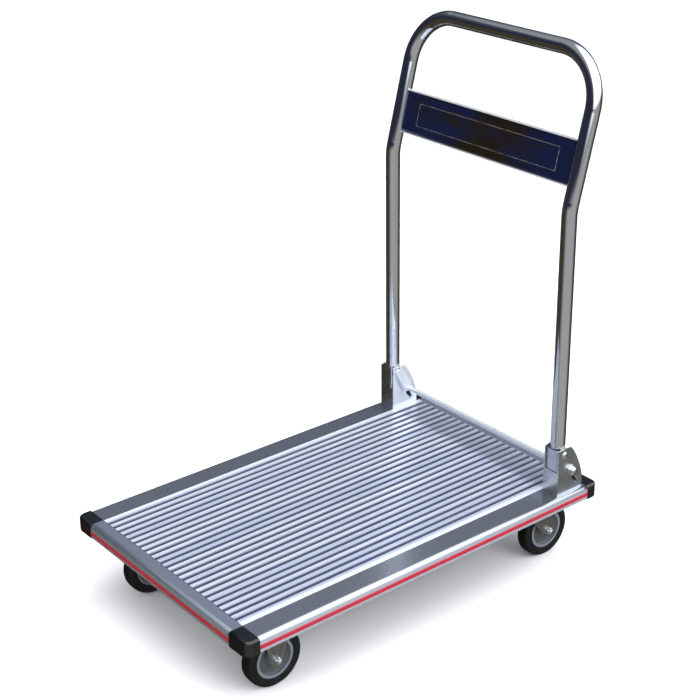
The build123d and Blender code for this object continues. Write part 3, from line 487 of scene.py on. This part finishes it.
def axleBolt(centre, outward):  # hex head inboard, locking nut and rounded shank end outboard
    a = axleShape
    face, apothem, corner = a["face"], a["apothem"], a["corner"]
    head = [
        (-face, 0.01), (-face, corner, apothem), (-face - a["head"] + 0.9, corner, apothem),
        (-face - a["head"], apothem - 0.3), (-face - a["head"], 0.01)]
    top = face + a["hex"]
    nut = [(face, a["shank"]), (face, 6.6), (face + 0.5, corner, apothem)]
    nut += [(top - 0.8, corner, apothem), (top, apothem - 0.3), (top + 0.1, a["collar"])]
    nut += arc((top + 1.3, a["collar"] - a["collarBend"]), a["collarBend"], 80, 10, 4)
    nut += [(top + 2.4, a["shank"])]
    end, bend = face + a["end"], a["endRound"]
    shank = [(-face + 0.01, 0.01), (-face + 0.01, a["shank"]), (end - bend, a["shank"])]
    shank += arc((end - bend, a["shank"] - bend), bend, 90, 0, 5) + [(end, 0.01)]
    return joined(
        turned(head, centre, outward, 60, False), turned(nut, centre, outward, 60),
        turned(shank, centre, outward, 40, False))


def makeAxleBolts():
    wheelCentre = {}
    for end in ("front", "rear"):
        for side in ("left", "right"):
            low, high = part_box(f"{end}_tyre_{side}")
            wheelCentre[end, side] = (low + high) / 2
    outward = {"left": -1, "right": 1}
    points, faces = joined(*[axleBolt(wheelCentre["front", side], outward[side]) for side in outward])
    makePiece("axle_bolts_front", points, faces, "plated_fastener", "deck", "front_axle_bolts", sharp=25)
    for side in outward:
        points, faces = axleBolt(wheelCentre["rear", side], outward[side])
        makePiece(
            f"axle_bolt_rear_{side}", points, faces, "plated_fastener", f"swivel_{side}",
            f"rear_axle_bolt_{side}", sharp=25)


nutShape = {
    "hole": 4.0, "washer": 9.5, "washerThick": 1.6, "washerEdge": 0.3, "apothem": 7.4, "corner": 8.55,
    "hex": 4.4, "dome": 7.1, "height": 4.5, "domeSteps": 8}


def makeDomeNuts():
    low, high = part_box("lock_bar_nuts")
    n = nutShape
    start = high.x / mm - n["washerThick"] - n["hex"] - n["height"] - 0.05
    face, edge = start + n["washerThick"], n["washerEdge"]
    top = face + n["hex"]
    rows = [(start, n["hole"]), (start, n["washer"] - edge), (start + edge, n["washer"])]
    rows += [(face - edge, n["washer"]), (face, n["washer"] - edge), (face, 8.0)]
    rows += [(face + 0.4, n["corner"], n["apothem"]), (top - 0.7, n["corner"], n["apothem"])]
    rows += [(top, n["dome"] + 0.1)]
    for i in range(n["domeSteps"] + 1):
        lean = math.radians(90 * i / n["domeSteps"])
        rows.append((top + n["height"] * math.sin(lean), max(0.01, n["dome"] * math.cos(lean))))
    middle = (low + high) / 2
    places = [((0, middle.y, middle.z), side) for side in (-1, 1)]
    points, faces = joined(*[turned(rows, place, side, 60, False) for place, side in places])
    makePiece("dome_nuts", points, faces, "plated_fastener", "lock_bar", "lock_bar_nuts", sharp=25)


def roundedPath(corners, radii):
    # the corners joined by arcs; returns points and how far along each arc starts and ends
    path, marks, travelled = [corners[0]], [], 0.0
    for before, corner, after, radius in zip(corners, corners[1:], corners[2:], radii):
        inward, outward = (before - corner).normalized(), (after - corner).normalized()
        half = inward.angle(outward) / 2
        reach = radius / math.tan(half)
        middle = corner + (inward + outward).normalized() * radius / math.sin(half)
        start, end = corner + inward * reach, corner + outward * reach
        first, normal = (start - middle), (end - middle)
        sweep = first.angle(normal)
        travelled += (start - path[-1]).length
        marks.append(travelled)
        steps = max(8, int(math.degrees(sweep) / 2.5))
        for i in range(steps + 1):
            t = sweep * i / steps
            path.append(middle + (first * math.sin(sweep - t) + normal * math.sin(t)) / math.sin(sweep))
        travelled += radius * sweep
        marks.append(travelled)
    path.append(corners[-1])
    return path, marks


def makeTube():
    t = tubeShape
    x, y = t["legX"], t["legY"]
    corners = [
        Vector(p) * mm for p in (
            (-x, y, t["low"]), (-x, y, t["bendZ"]), (-x, t["barY"], t["barZ"]),
            (x, t["barY"], t["barZ"]), (x, y, t["bendZ"]), (x, y, t["low"]))]
    radii = [t[name] * mm for name in ("bendRadius", "cornerRadius", "cornerRadius", "bendRadius")]
    path, marks = roundedPath(corners, radii)
    # thin grooves where the bender gripped the tube
    stations, travelled = [], 0.0
    for i, place in enumerate(path):
        if i:
            step = place - path[i - 1]
            for mark in marks:
                for offset, depth in t["markRows"]:
                    distance = mark + offset * mm - travelled
                    if 0.0002 < distance < step.length - 0.0002:
                        along = path[i - 1] + step * distance / step.length
                        stations.append((travelled + distance, along, depth))
            travelled += step.length
        stations.append((travelled, place, 0))
    stations.sort(key=lambda station: station[0])
    around, points, faces = t["around"], [], []
    side = Vector((1, 0, 0))
    for i, (travelled, place, depth) in enumerate(stations):
        ahead = stations[min(i + 1, len(stations) - 1)][1] - stations[max(i - 1, 0)][1]
        ahead.normalize()
        side = (side - ahead * side.dot(ahead)).normalized()
        up = ahead.cross(side)
        radius = (t["radius"] - depth * t["markDepth"]) * mm
        for k in range(around):
            angle = 2 * math.pi * k / around
            points.append(place + (side * math.cos(angle) + up * math.sin(angle)) * radius)
    rings = len(stations)
    for i in range(rings - 1):
        for k in range(around):
            n = (k + 1) % around
            faces.append((i * around + k, i * around + n, (i + 1) * around + n, (i + 1) * around + k))
    # the open ends' walls
    for ring, centre in ((0, corners[0]), (rings - 1, corners[-1])):
        for height in (0.0, t["plugDepth"]):
            base = len(points)
            for k in range(around):
                inward = (points[ring * around + k] - centre) * t["inner"] / t["radius"]
                points.append(centre + inward + Vector((0, 0, height * mm)))
            outer = base - around if height else ring * around
            for k in range(around):
                n = (k + 1) % around
                faces.append((outer + k, outer + n, base + n, base + k))
        faces.append(tuple(len(points) - around + k for k in range(around)))
    makePiece("handle_tube_bent", points, faces, "chrome_tube", "handle", "handle_tube", sharp=40)


def makePanel():
    p = panelShape
    lean = math.radians(p["lean"])
    along = Vector((0, math.sin(lean), math.cos(lean)))
    out = Vector((0, -math.cos(lean), math.sin(lean)))
    base = Vector((0, tubeShape["legY"], tubeShape["bendZ"])) * mm

    def rise(x, s):  # height of the pressed rectangle's flat above the sheet
        dx = abs(x) - p["pressX"] + p["pressCorner"]
        middle, half = (p["pressLow"] + p["pressHigh"]) / 2, (p["pressHigh"] - p["pressLow"]) / 2
        ds = abs(s - middle) - half + p["pressCorner"]
        outside = math.hypot(max(dx, 0), max(ds, 0)) + min(max(dx, ds), 0) - p["pressCorner"]
        k = min(1.0, max(0.0, -outside / p["pressSlope"]))
        return p["pressRise"] * k * k * (3 - 2 * k)

    def spread(low, high, coarse, places):  # values with fine steps near the given places
        values, value = [], low
        while value < high:
            values.append(value)
            near = min(abs(value - place) for place in places)
            value += p["fine"] if near < p["fineReach"] else coarse
        return values + [high]

    slopeMiddle = p["pressSlope"] / 2
    xs = spread(-p["end"], p["end"], 9.0, (-p["pressX"] + slopeMiddle, p["pressX"] - slopeMiddle))
    ss = spread(
        p["low"] + p["roll"], p["high"] - p["roll"], 5.0,
        (p["pressLow"] + slopeMiddle, p["pressHigh"] - slopeMiddle))
    half = p["thick"] / 2
    # front face upwards, round the upper roll, back face down, round the lower roll
    sweep, steps = p["rollSweep"], p["rollSteps"]
    turns = [sweep / 2 - sweep * i / steps for i in range(steps + 1)]
    section = [("front", s) for s in ss[1:-1]] + [("upper", turn) for turn in turns]
    section += [("back", s) for s in reversed(ss[1:-1])] + [("lower", turn + 180) for turn in turns]
    rollMiddle = {"upper": p["high"] - p["roll"], "lower": p["low"] + p["roll"]}
    points, faces = [], []
    for x in xs:
        for kind, value in section:
            if kind in rollMiddle:
                angle = math.radians(value)
                s = rollMiddle[kind] - p["roll"] * math.cos(angle)
                n = p["roll"] * math.sin(angle)
            else:
                s = value
                n = rise(x, value) + (half if kind == "front" else -half)
            points.append(base + (Vector((x, 0, 0)) + along * s + out * n) * mm)
    count = len(section)
    for i in range(len(xs) - 1):
        for j in range(count):
            k = (j + 1) % count
            faces.append((i * count + j, i * count + k, (i + 1) * count + k, (i + 1) * count + j))
    makePiece("panel_pressed", points, faces, "dark_panel", "handle", "handle_panel", sharp=50)


for side in ("left", "right"):
    for end in ("front", "rear"):
        makeTyre(side, end)
        makeHub(side, end)
makeAxleBolts()
makeDomeNuts()
makeTube()
makePanel()
print("pieces made")

softened = {  # CAD nodes whose edges are eased: width in millimetres
    "hinge_bracket": 0.45, "handle_socket": 0.3, "front_fork": 0.5, "rear_fork": 0.5, "corner_cap": 0.5,
    "rear_caster_plate": 0.4, "deck_plank": 0.45, "side_rail": 0.3, "end_rail": 0.3, "caster_nuts": 0.4,
    "spring_cover": 0.3}


def easeEdges(node, width):
    weld = node.modifiers.new("weld", "WELD")
    weld.merge_threshold = 0.00002
    bevel = node.modifiers.new("bevel", "BEVEL")
    bevel.width = width * mm
    bevel.segments = 2
    bevel.limit_method = "ANGLE"
    bevel.angle_limit = math.radians(38)
    bevel.use_clamp_overlap = True
    bevel.harden_normals = True


for stem, width in softened.items():
    for name, node in nodes.items():
        if name.startswith(stem) and "screws" not in name:
            easeEdges(node, width)
print("edges eased")


def makeFloor():
    mesh = bpy.data.meshes.new("floor")
    reach = 16.0
    corners = [(-reach, -reach, 0), (reach, -reach, 0), (reach, reach, 0), (-reach, reach, 0)]
    mesh.from_pydata(corners, [], [(0, 1, 2, 3)])
    floor = bpy.data.objects.new("floor", mesh)
    bpy.context.scene.collection.objects.link(floor)
    f = Finish("floor_paper")
    shade = f.noise(0.6)
    floor.data.materials.append(f.shade(
        Base_Color=f.blend(shade * 0.2, (0.93, 0.93, 0.93), (0.90, 0.90, 0.90)), Roughness=0.9,
        Specular_IOR_Level=0.1))
    floor.visible_glossy = False


lightsAim = Vector((0, 0, 0.3))
lights = {  # name: place and size in metres, power in watts, colour
    "overhead": ((0.5, -0.3, 3.4), (4.4, 4.4), 105, (0.97, 0.98, 1.0)),
    "right": ((3.2, 0.6, 1.7), (2.0, 2.2), 45, (1.0, 0.99, 0.97)),
    "front": ((-0.6, -3.4, 1.9), (2.0, 2.0), 40, (0.97, 0.98, 1.0)),
}


def makeLight(name, place, size, power, colour):
    lamp = bpy.data.lights.new(name, "AREA")
    lamp.shape = "RECTANGLE"
    lamp.size, lamp.size_y = size
    lamp.energy = power
    lamp.color = colour
    holder = bpy.data.objects.new(name, lamp)
    holder.location = place
    holder.rotation_euler = (lightsAim - Vector(place)).to_track_quat("-Z", "Y").to_euler()
    holder.visible_glossy = False
    bpy.context.scene.collection.objects.link(holder)


skyLook = {  # what the metal reflects, by direction; the pairs are where a colour starts and is full
    "floorBrown": (0.050, 0.042, 0.028), "wallNavy": (0.022, 0.026, 0.045), "horizon": (-0.12, 0.02),
    "upperNavy": (0.10, 0.11, 0.14), "upper": (0.25, 0.75),
    "ceiling": (0.27, 0.29, 0.29), "top": (0.58, 0.68),
    "farWall": (0.18, 0.205, 0.26), "farHeight": (0.38, 0.62), "farDepth": (0.18, 0.42),
    "ground": (0.36, 0.36, 0.35), "groundSide": (0.93, -0.36, 0), "groundSpread": (0.0, 0.75),
    "groundHeight": (0.1, -0.1),
    "window": (1.9, 1.95, 2.05), "windowSide": (0.72, 0.24, 0.65), "windowSpread": (0.30, 0.62),
    "windowHeight": (-0.05, 0.30)}


def makeSky():
    world = bpy.data.worlds.new("studio")
    bpy.context.scene.world = world
    w, look = Shades(world), skyLook
    direction = w.put("ShaderNodeTexCoord", output="Generated")
    z = w.put("ShaderNodeSeparateXYZ", None, {"Vector": direction}, output="Z")
    y = z.output("Y")

    def towards(side):  # 1 where the direction points that way, -1 opposite
        sockets = {0: direction, 1: look[side]}
        return w.put("ShaderNodeVectorMath", {"operation": "DOT_PRODUCT"}, sockets, output="Value")

    colour = w.blend(w.step(z, *look["horizon"]), look["floorBrown"], look["wallNavy"])
    colour = w.blend(w.step(z, *look["upper"]), colour, look["upperNavy"])
    colour = w.blend(w.step(z, *look["top"]), colour, look["ceiling"])
    far = w.step(z, *look["farHeight"]) * w.step(y, *look["farDepth"])
    colour = w.blend(far, colour, look["farWall"])
    ground = w.step(towards("groundSide"), *look["groundSpread"]) * w.step(z, *look["groundHeight"])
    colour = w.blend(ground, colour, look["ground"])
    window = w.step(towards("windowSide"), *look["windowSpread"]) * w.step(z, *look["windowHeight"])
    colour = w.blend(window, colour, look["window"])
    light = w.put("ShaderNodeBackground", None, {"Color": colour, "Strength": 1.0})
    w.put("ShaderNodeOutputWorld", None, {"Surface": light})


backdropLook = {"radius": 20.0, "colour": (0.94, 0.945, 0.95)}  # radius in metres


def makeBackdrop():  # a pale dome that only the camera sees
    bpy.ops.mesh.primitive_uv_sphere_add(segments=64, ring_count=32, radius=backdropLook["radius"])
    dome = bpy.context.object
    dome.name = "backdrop"
    f = Finish("backdrop_pale")
    glow = f.put("ShaderNodeEmission", None, {"Color": backdropLook["colour"], "Strength": 1.0})
    f.put("ShaderNodeOutputMaterial", None, {"Surface": glow})
    dome.data.materials.append(f.material)
    for ray in ("diffuse", "glossy", "transmission", "volume_scatter", "shadow"):
        setattr(dome, "visible_" + ray, False)


cameraLook = {  # angles in degrees, the lens in millimetres, the rest in metres
    "azimuth": 51.13, "height": 24.57, "roll": -0.67, "lens": 79.85, "distance": 2.5232,
    "middle": (0, 0, 0.352), "aside": 0.0171, "above": 0.0632}


def makeCamera():
    look = cameraLook
    azimuth, height, roll = (math.radians(look[name]) for name in ("azimuth", "height", "roll"))
    back = Vector((
        math.sin(azimuth) * math.cos(height), -math.cos(azimuth) * math.cos(height), math.sin(height)))
    right = Vector((math.cos(azimuth), math.sin(azimuth), 0))
    up = back.cross(right)
    place = Vector(look["middle"]) + back * look["distance"] + right * look["aside"] + up * look["above"]
    tiltedRight = right * math.cos(roll) + up * math.sin(roll)
    tiltedUp = up * math.cos(roll) - right * math.sin(roll)
    lens = bpy.data.cameras.new("camera")
    lens.lens = look["lens"]
    lens.sensor_width = 36.0
    camera = bpy.data.objects.new("camera", lens)
    turn = Matrix((tiltedRight, tiltedUp, back)).transposed().to_4x4()
    camera.matrix_world = Matrix.Translation(place) @ turn
    bpy.context.scene.collection.objects.link(camera)
    bpy.context.scene.camera = camera


makeFloor()
makeBackdrop()
makeSky()
for name, values in lights.items():
    makeLight(name, *values)
makeCamera()
bpy.context.scene.view_settings.view_transform = "Standard"
print("stage set")
